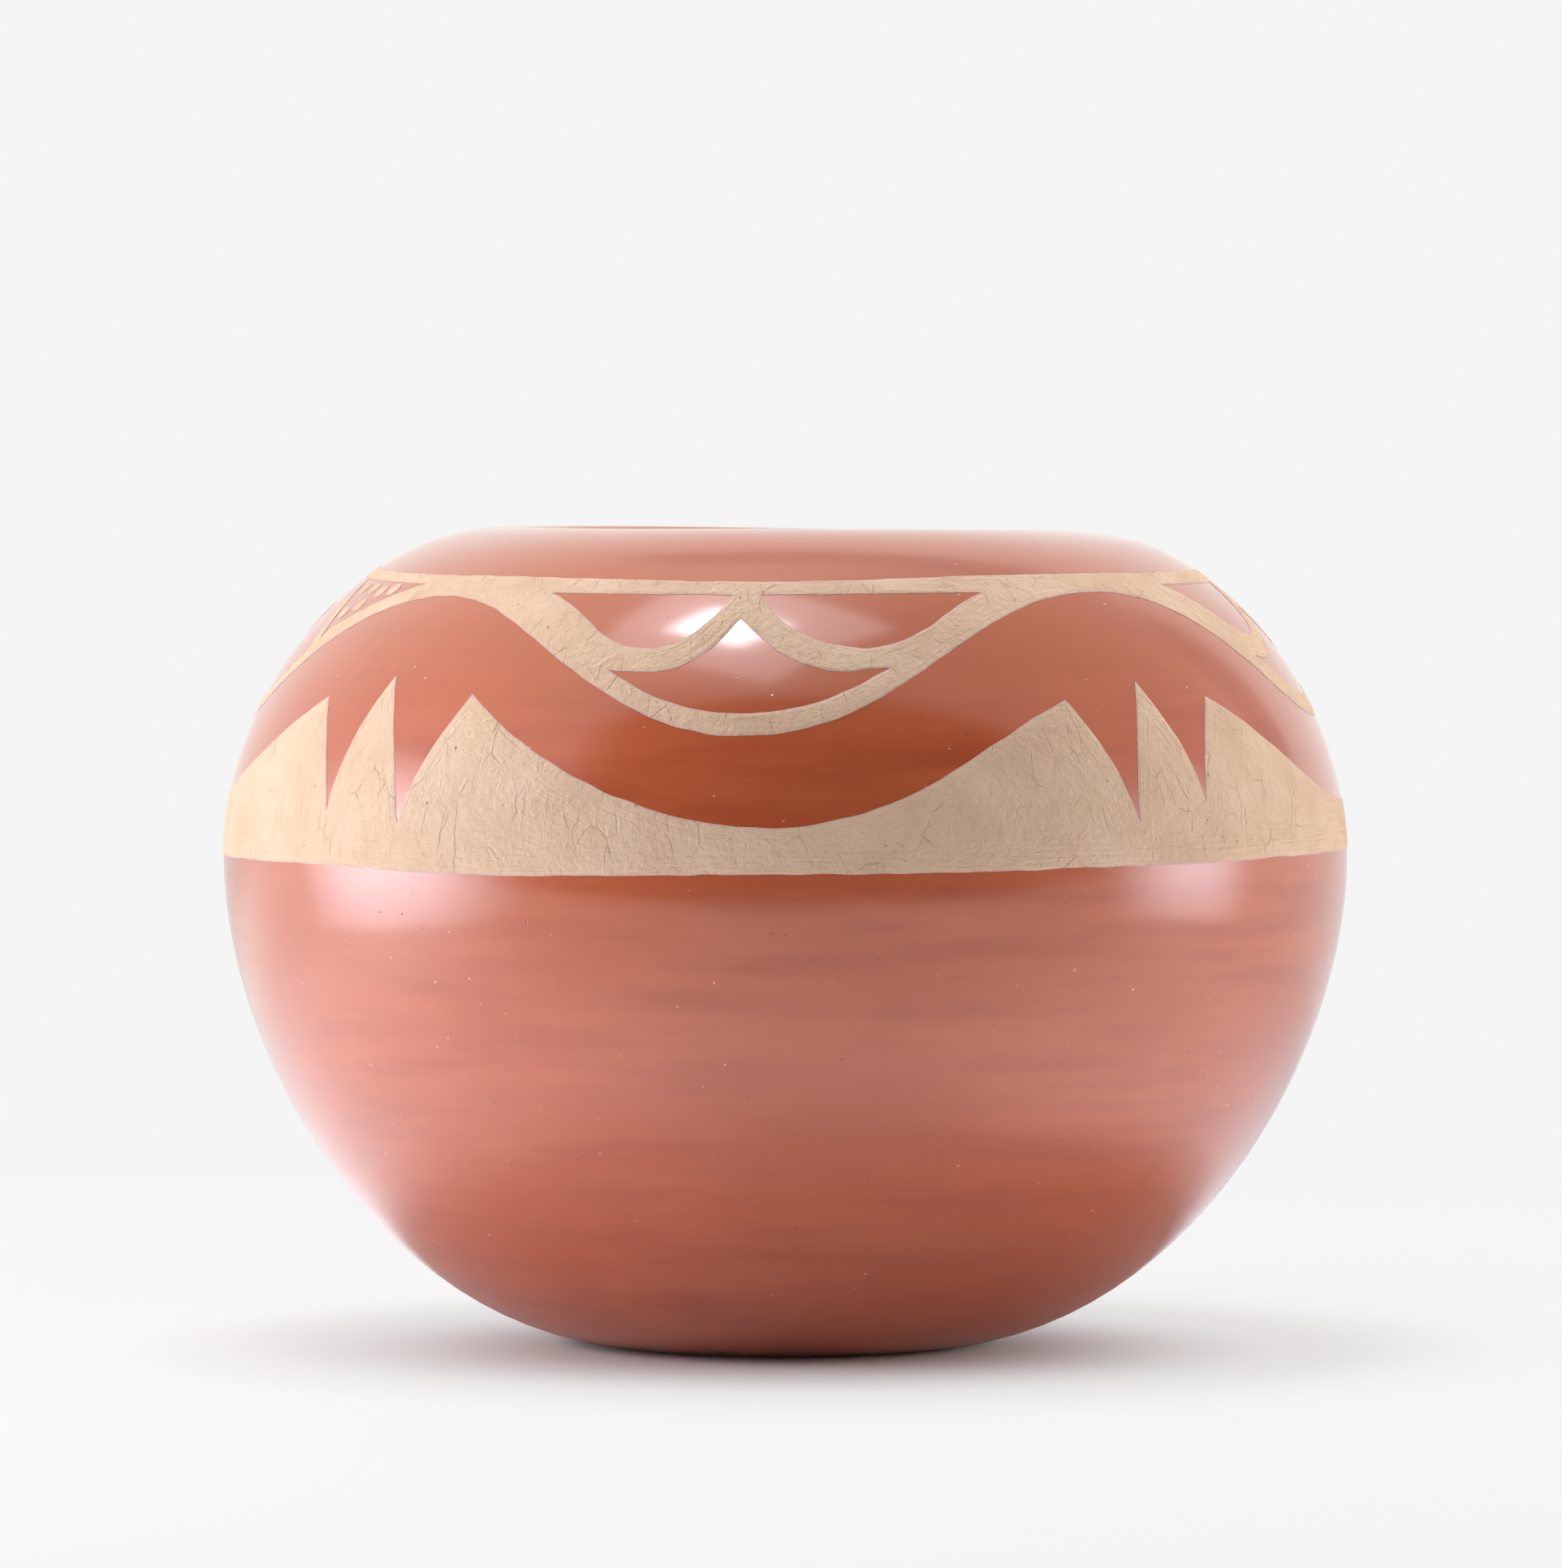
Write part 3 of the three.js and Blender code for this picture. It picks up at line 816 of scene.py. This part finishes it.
scuff_zone = add(tree, "MapRange", {
    "Value": scuff_area, "From Min": 0.64, "From Max": 0.74, "To Max": 0.4,
})
scuff_mask = add(tree, "Math", {0: scuff_line, 1: scuff_zone}, operation="MULTIPLY")
scuffed = add(tree, "Mix", {
    "Factor": scuff_mask, "A": speckled.outputs[2], "B": shade("#CF7444"),
}, data_type="RGBA")
gloss = add(tree, "MapRange", {
    "Value": long_strokes, "From Min": 0.3, "From Max": 0.7, "To Min": 0.285, "To Max": 0.35,
})
peel = add(tree, "TexNoise", {"Vector": place, "Scale": per(1.6)})
peel_bump = add(tree, "Bump", {"Height": peel, "Distance": 0.0012 * MM})
pit_bump = add(tree, "Bump", {
    "Height": speck_mask, "Strength": 0.7, "Distance": 0.08 * MM, "Normal": peel_bump,
}, invert=True)
polish = add(tree, "MapRange", {
    "Value": height, "From Min": 2 * MM, "From Max": 18 * MM, "To Min": 0.3, "To Max": 1.0,
})
shader = add(tree, "BsdfPrincipled", {
    "Base Color": scuffed.outputs[2],
    "Roughness": gloss,
    "IOR": 1.36,
    "Coat Weight": polish,
    "Coat Roughness": 0.13,
    "Coat IOR": 1.7,
    "Normal": pit_bump,
    "Coat Normal": pit_bump,
})
add(tree, "OutputMaterial", {"Surface": shader})

# %% [markdown]
# ### Matt buff slip
# The paint is a thick pale clay that isn't polished. Its brush follows the outline of each shape, so
# the ridges are drawn from each point's distance to the edge. It dries with a coarse grain and fine
# upright cracks, and has dark pits. At its very edge it is thin, and the red below makes it mauve; the
# pale mauve there is also a painted highlight on the edge.

# %% Matt buff slip
buff_slip, tree = new_material("matt buff slip")
place = add(tree, "TexCoord").outputs["Object"]
chart = add(tree, "UVMap", uv_map="chart")
depth = add(tree, "Attribute", attribute_name="slip_depth").outputs["Fac"]
from_edge = add(tree, "Attribute", attribute_name="edge_distance").outputs["Fac"]


def chart_space(tree, width, height):
    """The flat map in cells of width by height millimetres."""
    scale = (map_radius / width, map_radius / height, 1)
    return add(tree, "Mapping", {"Vector": chart, "Scale": scale})


ridge_width = 0.42
ridge_place = add(tree, "SeparateXYZ", {"Vector": chart_space(tree, 7, 7)})
ridge_rows = add(tree, "Math", {0: from_edge, 1: 1 / ridge_width}, operation="MULTIPLY")
brush_space = add(tree, "CombineXYZ", {
    "X": ridge_place.outputs["X"], "Y": ridge_place.outputs["Y"], "Z": ridge_rows,
})
brush = add(tree, "TexNoise", {"Vector": brush_space, "Scale": 1.0})
brush_reach = add(tree, "MapRange", {
    "Value": from_edge, "From Min": 2.0, "From Max": 6.0, "To Min": 1.0, "To Max": 0.25,
})
ridges = add(tree, "Math", {0: brush, 1: brush_reach}, operation="MULTIPLY")
blotch = add(tree, "TexNoise", {"Vector": place, "Scale": per(9), "Detail": 5.0, "Roughness": 0.6})
base = add(tree, "ValToRGB", {"Fac": blotch}, stops=[
    (0.34, shade("#D1AE90")),
    (0.5, shade("#D8B697")),
    (0.68, shade("#DDBDA0")),
])
crack_wander = add(tree, "TexNoise", {"Vector": chart_space(tree, 2.2, 2.2), "Scale": 1.0, "Detail": 3.0})
crack_cells = add(tree, "Mix", {
    "Factor": 0.22, "A": chart_space(tree, 2.5, 5.5), "B": crack_wander.outputs["Color"],
}, data_type="VECTOR")
cracks = add(tree, "TexVoronoi", {
    "Vector": crack_cells.outputs[1], "Scale": 1.0,
}, feature="DISTANCE_TO_EDGE")
crack_line = add(tree, "MapRange", {"Value": cracks, "From Max": 0.026, "To Min": 1.0, "To Max": 0.0})
crack_area = add(tree, "TexNoise", {"Vector": chart_space(tree, 5, 5), "Scale": 1.0, "Detail": 3.0})
crack_zone = add(tree, "MapRange", {"Value": crack_area, "From Min": 0.46, "From Max": 0.62})
crack_mask = add(tree, "Math", {0: crack_line, 1: crack_zone}, operation="MULTIPLY")
cracked = add(tree, "Mix", {
    "Factor": add(tree, "Math", {0: crack_mask, 1: 0.3}, operation="MULTIPLY"),
    "A": base,
    "B": shade("#A8835C"),
}, data_type="RGBA")
pits = add(tree, "TexVoronoi", {"Vector": place, "Scale": per(1.9)})
pit_pick = add(tree, "SeparateColor", {"Color": pits.outputs["Color"]})
pit_size = add(tree, "Math", {0: pit_pick.outputs[1], 1: 0.11}, operation="MULTIPLY")
pit_inside = add(tree, "Math", {0: pits, 1: pit_size}, operation="LESS_THAN")
pit_few = add(tree, "Math", {0: pit_pick, 1: 0.55}, operation="GREATER_THAN")
pit_mask = add(tree, "Math", {0: pit_inside, 1: pit_few}, operation="MULTIPLY")
pitted = add(tree, "Mix", {
    "Factor": add(tree, "Math", {0: pit_mask, 1: 0.75}, operation="MULTIPLY"),
    "A": cracked.outputs[2],
    "B": shade("#84603F"),
}, data_type="RGBA")
# Pale mauve along the painted edges: partly red showing through the thin slip, partly a painted highlight.
thin_edge_and_sheen = add(tree, "MapRange", {"Value": depth, "From Max": 0.5, "To Min": 0.8, "To Max": 0.0})
edged_with_sheen = add(tree, "Mix", {
    "Factor": thin_edge_and_sheen, "A": pitted.outputs[2], "B": shade("#CCA8A4"),
}, data_type="RGBA")
ridge_bump = add(tree, "Bump", {"Height": ridges, "Distance": 0.17 * MM})
grain = add(tree, "TexNoise", {"Vector": place, "Scale": per(1.2), "Detail": 4.0, "Roughness": 0.68})
grain_bump = add(tree, "Bump", {"Height": grain, "Distance": 0.38 * MM, "Normal": ridge_bump})
crack_bump = add(tree, "Bump", {
    "Height": crack_mask, "Distance": 0.09 * MM, "Normal": grain_bump,
}, invert=True)
pit_dent = add(tree, "Bump", {
    "Height": pit_mask, "Distance": 0.12 * MM, "Normal": crack_bump,
}, invert=True)
shader = add(tree, "BsdfPrincipled", {
    "Base Color": edged_with_sheen.outputs[2],
    "Roughness": 0.68,
    "IOR": 1.5,
    "Normal": pit_dent,
})
add(tree, "OutputMaterial", {"Surface": shader})

# %% [markdown]
# ### Fired clay
# Inside and under the foot the clay is bare: a dull warm tan, wiped smooth with a wet hand, with the
# rings that the fingers leave and a grain of fine temper.

# %% Fired clay
temper_size = 1 / 1.4
raw_clay, tree = new_material("fired bare clay")
place = add(tree, "TexCoord").outputs["Object"]
wipes = add(tree, "TexNoise", {"Vector": wrapped_space(tree, 19, 3.1), "Scale": 1.0, "Detail": 4.0})
base = add(tree, "ValToRGB", {"Fac": wipes}, stops=[
    (0.3, shade("#9C6C4E")),
    (0.55, shade("#B07E5E")),
    (0.75, shade("#BD8D6B")),
])
temper = add(tree, "TexNoise", {"Vector": place, "Scale": per(temper_size)})
wipe_bump = add(tree, "Bump", {"Height": wipes, "Strength": 0.5, "Distance": 0.6 * MM})
temper_bump = add(tree, "Bump", {
    "Height": temper, "Strength": 0.4, "Distance": 0.15 * MM, "Normal": wipe_bump,
})
shader = add(tree, "BsdfPrincipled", {
    "Base Color": base,
    "Roughness": 0.85,
    "Normal": temper_bump,
})
add(tree, "OutputMaterial", {"Surface": shader})

# %% Give each piece its finish and its place in the frame
pieces = [
    (clay_wall_piece, "jar_body", "clay", raw_clay),
    (slip_coat, "red_slip_coat", "red_slip", red_slip),
    (upper_band, "cloud_band", "buff_slip", buff_slip),
    (lower_band, "feather_band", "buff_slip", buff_slip),
]
pieces += [(piece, node, "buff_slip", buff_slip) for node, piece in dabs.items()]
for piece, node, slot, finish in pieces:
    piece.data.materials.clear()
    piece.data.materials.append(finish)
    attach(piece, "root")
    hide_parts(node)
print("Pieces:", len(pieces))

# %% [markdown]
# ## Camera
# The picture was taken from about 1.3 metres away with a long lens, a little above the jar's lip and
# tilted down by two degrees, so the near lip almost hides the mouth.

# %% Camera
camera_place = (-0.0006, -1.2927, 0.11944)
camera_tilt = 1.95
bpy.ops.object.camera_add(location=camera_place, rotation=(math.radians(90 - camera_tilt), 0, 0))
camera = bpy.context.object
camera.data.lens = 219.3
camera.data.sensor_width = 36
camera.data.clip_end = 20
bpy.context.scene.camera = camera
bpy.context.scene.view_settings.view_transform = "Standard"

# %% [markdown]
# ## Studio
# The jar stands on a white table that fades into a white backdrop. A soft lamp hangs overhead a little
# to the left, within a larger and dimmer one, and a soft box stands at each side. The polished slip
# mirrors them, so their places come from where the shine lies on the jar. What lights the jar and what
# its polish mirrors are made apart, so that each can be matched by itself: some lamps are hidden from
# reflections, and some cards are seen by reflections alone.

# %% [markdown]
# ### Table
# The camera sees the jar's shadow on the paper, which turns into the backdrop further out. The polish
# mirrors paper with a painted reflection on it: bright at the left, greyer in front and dull at the right
# and back, and ending in front, where the room is dark. No lamp here lights the whole table, so the
# paper glows where their light ends, though not towards the jar from in front. Distances are in metres.

# %% Table and backdrop
backdrop_colour = shade("#F5F5F5")
mirrored_gain = 0.5

bpy.ops.mesh.primitive_plane_add(size=8)
table = bpy.context.object
table.name = "table"
paper, tree = new_material("white paper")
place = add(tree, "TexCoord").outputs["Object"]
far = add(tree, "VectorMath", {0: place}, operation="LENGTH").outputs["Value"]
rays = add(tree, "LightPath")
is_mirrored = rays.outputs["Is Glossy Ray"]
is_seen = add(tree, "Math", {
    0: rays.outputs["Is Camera Ray"], 1: rays.outputs["Is Transmission Ray"],
}, operation="MAXIMUM")
towards_back = add(tree, "MapRange", {
    "Value": add(tree, "SeparateXYZ", {"Vector": place}).outputs["Y"], "From Min": -0.6, "From Max": 0.4,
})

# %% How much of the table glows for the light it throws, in the polish, and to the camera
fade = add(tree, "MapRange", {"Value": far, "From Min": 0.3, "From Max": 1.0}, **eased)
not_in_front = add(tree, "MapRange", {"Value": towards_back, "From Min": 0.1, "From Max": 0.45})
lighting_glow = add(tree, "Math", {0: fade, 1: not_in_front}, operation="MULTIPLY")
mirrored_glow = add(tree, "MapRange", {"Value": far, "From Min": 0.12, "From Max": 0.4}, **eased)
unseen_glow = add(tree, "Mix", {"Factor": is_mirrored, "A": lighting_glow, "B": mirrored_glow})
seen_fade = add(tree, "MapRange", {"Value": far, "From Min": 0.1, "From Max": 0.42}, **eased)
# Near the jar the paper's glow lightens the jar's shadow for the camera. This is painted light, growing
# from 18 mm to 70 mm out from a point just in front of the foot.
shadow_middle = (0, -0.012, 0)
from_shadow = add(tree, "VectorMath", {0: place, 1: shadow_middle}, operation="DISTANCE").outputs["Value"]
near_glow = add(tree, "MapRange", {
    "Value": from_shadow, "From Min": 0.018, "From Max": 0.07, "To Max": 0.79,
}, **eased)
seen_glow = add(tree, "Math", {0: seen_fade, 1: near_glow}, operation="MAXIMUM")
glow_share = add(tree, "Mix", {"Factor": is_seen, "A": unseen_glow, "B": seen_glow})

# %% The table's colours, which end in front where the polish mirrors them
# What the polish sees of the paper is a painted reflection: black past the front edge, grey in front, white
# further back, and a darker grey at the right and back.
front_to_back = add(tree, "ValToRGB", {"Fac": towards_back}, stops=[
    (0.14, grey(0.03)),
    (0.155, shade("#CBC8C4")),
    (0.43, shade("#CDCAC6")),
    (0.55, shade("#FFFFFF")),
    (0.74, shade("#E8E8E8")),
])
right_and_back = (0.7, 0.7, 0)
to_corner = add(tree, "VectorMath", {0: place, 1: right_and_back}, operation="DOT_PRODUCT")
dull_corner = add(tree, "MapRange", {
    "Value": to_corner.outputs["Value"], "From Max": 0.22, "To Max": 0.95,
})
mirrored_colour = add(tree, "Mix", {
    "Factor": dull_corner, "A": front_to_back, "B": grey(0.52),
}, data_type="RGBA")
unseen_colour = add(tree, "Mix", {
    "Factor": is_mirrored, "A": shade("#F5F3F1"), "B": mirrored_colour.outputs[2],
}, data_type="RGBA")
paper_colour = add(tree, "Mix", {
    "Factor": is_seen, "A": unseen_colour.outputs[2], "B": shade("#E6E2E1"),
}, data_type="RGBA")
sheet = add(tree, "BsdfDiffuse", {"Color": paper_colour.outputs[2]})
glow_colour = add(tree, "Mix", {
    "Factor": is_mirrored, "A": backdrop_colour, "B": mirrored_colour.outputs[2],
}, data_type="RGBA")
near_level = add(tree, "MapRange", {
    "Value": far, "From Min": 0.1, "From Max": 0.3, "To Min": 0.975, "To Max": 1.0,
})
glow_level = add(tree, "Math", {
    0: is_mirrored, 1: mirrored_gain, 2: near_level,
}, operation="MULTIPLY_ADD")
glow = add(tree, "Emission", {"Color": glow_colour.outputs[2], "Strength": glow_level})
blend = add(tree, "MixShader", {0: glow_share, 1: sheet, 2: glow})
add(tree, "OutputMaterial", {"Surface": blend})
table.data.materials.append(paper)

# %% [markdown]
# ### Light from the backdrop
# The backdrop throws a soft light from behind, and next to none comes from the dark side in front. The
# camera sees it evenly white. The polish mirrors it white too, but dimmer high up at the right.

# %% Backdrop light
front_level = 0.05
back_level = 0.35
dim_side = 0.37
dim_way = Vector((0.74, -0.2, 0.64)).normalized()

world = bpy.data.worlds.new("studio")
bpy.context.scene.world = world
world.use_nodes = True
tree = world.node_tree
tree.nodes.clear()
rays = add(tree, "LightPath")
way = add(tree, "TexCoord").outputs["Generated"]
towards_back = add(tree, "SeparateXYZ", {"Vector": way}).outputs["Y"]
back_share = add(tree, "MapRange", {"Value": towards_back, "From Min": -0.6, "From Max": 0.5}, **eased)
soft_level = add(tree, "Mix", {"Factor": back_share, "A": front_level, "B": back_level})
soft = add(tree, "Background", {"Color": shade("#FFFFFF"), "Strength": soft_level})
to_dim_side = add(tree, "VectorMath", {0: way, 1: dim_way}, operation="DOT_PRODUCT")
dim_share = add(tree, "MapRange", {
    "Value": to_dim_side.outputs["Value"], "From Min": 0.45, "From Max": 0.85, "To Max": dim_side,
}, **eased)
mirrored_level = add(tree, "Math", {0: 1.0, 1: dim_share}, operation="SUBTRACT")
mirrored = add(tree, "Background", {"Color": shade("#FFFDFA"), "Strength": mirrored_level})
behind = add(tree, "Background", {"Color": backdrop_colour})
in_polish = add(tree, "Math", {
    0: rays.outputs["Is Glossy Ray"], 1: rays.outputs["Is Transmission Ray"],
}, operation="MAXIMUM")
either = add(tree, "MixShader", {0: in_polish, 1: soft, 2: mirrored})
shown = add(tree, "MixShader", {0: rays.outputs["Is Camera Ray"], 1: either, 2: behind})
add(tree, "OutputWorld", {"Surface": shown})

# %% [markdown]
# ### Cards that only reflections can see
# The belly mirrors the dark space in front, where the photographer stands, two soft boxes, and dimmer
# parts of the room. A card stands in for each. It lights nothing and fades out towards its edges, so
# the shine has soft ends, and the boxes are slightly blue, as daylight lamps are.

# %% Cards
card_colour = shade("#E9F1FF")


def mirrored_card(name, place, size, level, soft, turn=0):
    """An upright card as bright as level, that fades out towards its edges and lights nothing."""
    upright = (math.radians(90), 0, math.radians(turn))
    bpy.ops.mesh.primitive_plane_add(size=1, location=place, rotation=upright)
    card = bpy.context.object
    card.name = name
    card.scale = (*size, 1)
    bpy.ops.object.transform_apply(location=True, rotation=True, scale=True)
    card.visible_camera = False
    card.visible_diffuse = False
    card.visible_shadow = False
    card.visible_transmission = False
    paper, tree = new_material(name)
    on_card = add(tree, "SeparateXYZ", {"Vector": add(tree, "UVMap", uv_map="UVMap")})
    fades = []
    for axis in "XY":
        from_edge = add(tree, "Math", {0: on_card.outputs[axis], 1: 0.5}, operation="PINGPONG")
        fades.append(add(tree, "MapRange", {"Value": from_edge, "From Max": soft}, **eased))
    solid = add(tree, "Math", {0: fades[0], 1: fades[1]}, operation="MULTIPLY")
    clear = add(tree, "BsdfTransparent")
    glow = add(tree, "Emission", {"Color": card_colour, "Strength": level})
    sheet = add(tree, "MixShader", {0: solid, 1: clear, 2: glow})
    add(tree, "OutputMaterial", {"Surface": sheet})
    card.data.materials.append(paper)


mirrored_card("dark_room_in_front", (0.2, -0.36, 0.3), (1.3, 0.62), 0.02, soft=0.16)
mirrored_card("dim_wall_above_backdrop", (0.55, 0.9, 1.5), (1.9, 0.6), 0.64, soft=0.1)
mirrored_card("dim_gap_at_right", (1.1, 0.9, 0.75), (0.5, 1.1), 0.45, soft=0.2)
mirrored_card("left_softbox", (-0.3, -0.067, 0.085), (0.36, 0.29), 7.2, soft=0.46, turn=-77)
mirrored_card("right_softbox", (0.34, -0.055, 0.082), (0.26, 0.27), 4.9, soft=0.46, turn=81)


# %% [markdown]
# ### Lamps
# The two lamps overhead are the ones that the shoulder mirrors. The others are hidden from the polish:
# they fill the jar from above and behind and from both sides, and light the table at the left.

# %% Lamps
cool_white = "#F3F6FF"
pale_blue = "#F5F8FF"


def soft_lamp(name, place, aim, size, power, colour="#FFFFFF", mirrored=True):
    """A square or oblong lamp at place, turned to face aim, that the polish mirrors or not."""
    bpy.ops.object.light_add(type="AREA", location=place)
    lamp = bpy.context.object
    lamp.name = name
    lamp.rotation_euler = (Vector(aim) - Vector(place)).to_track_quat("-Z", "Y").to_euler()
    lamp.data.shape = "RECTANGLE"
    lamp.data.size = size[0]
    lamp.data.size_y = size[1]
    lamp.data.energy = power
    lamp.data.color = shade(colour)[:3]
    lamp.visible_glossy = mirrored


jar_middle = (0, 0, 0.06)
jar_shoulder = (0, 0, 0.105)
soft_lamp("overhead", (-0.15, -0.15, 1.15), jar_middle, (0.26, 0.22), 2.3, cool_white)
soft_lamp("overhead_frame", (-0.13, -0.16, 1.16), jar_middle, (0.66, 0.6), 2.2, cool_white)
soft_lamp("ceiling", (-0.06, 0.2, 1.14), jar_middle, (0.4, 0.36), 9.9, cool_white, mirrored=False)
soft_lamp("left", (-0.39, -0.15, 0.105), jar_shoulder, (0.3, 0.17), 0.6, pale_blue, mirrored=False)
soft_lamp("left_table", (-0.36, -0.12, 0.16), (-0.3, -0.1, 0), (0.2, 0.1), 0.6, pale_blue, mirrored=False)
soft_lamp("right", (0.4475, -0.047, 0.105), jar_shoulder, (0.32, 0.15), 0.92, mirrored=False)
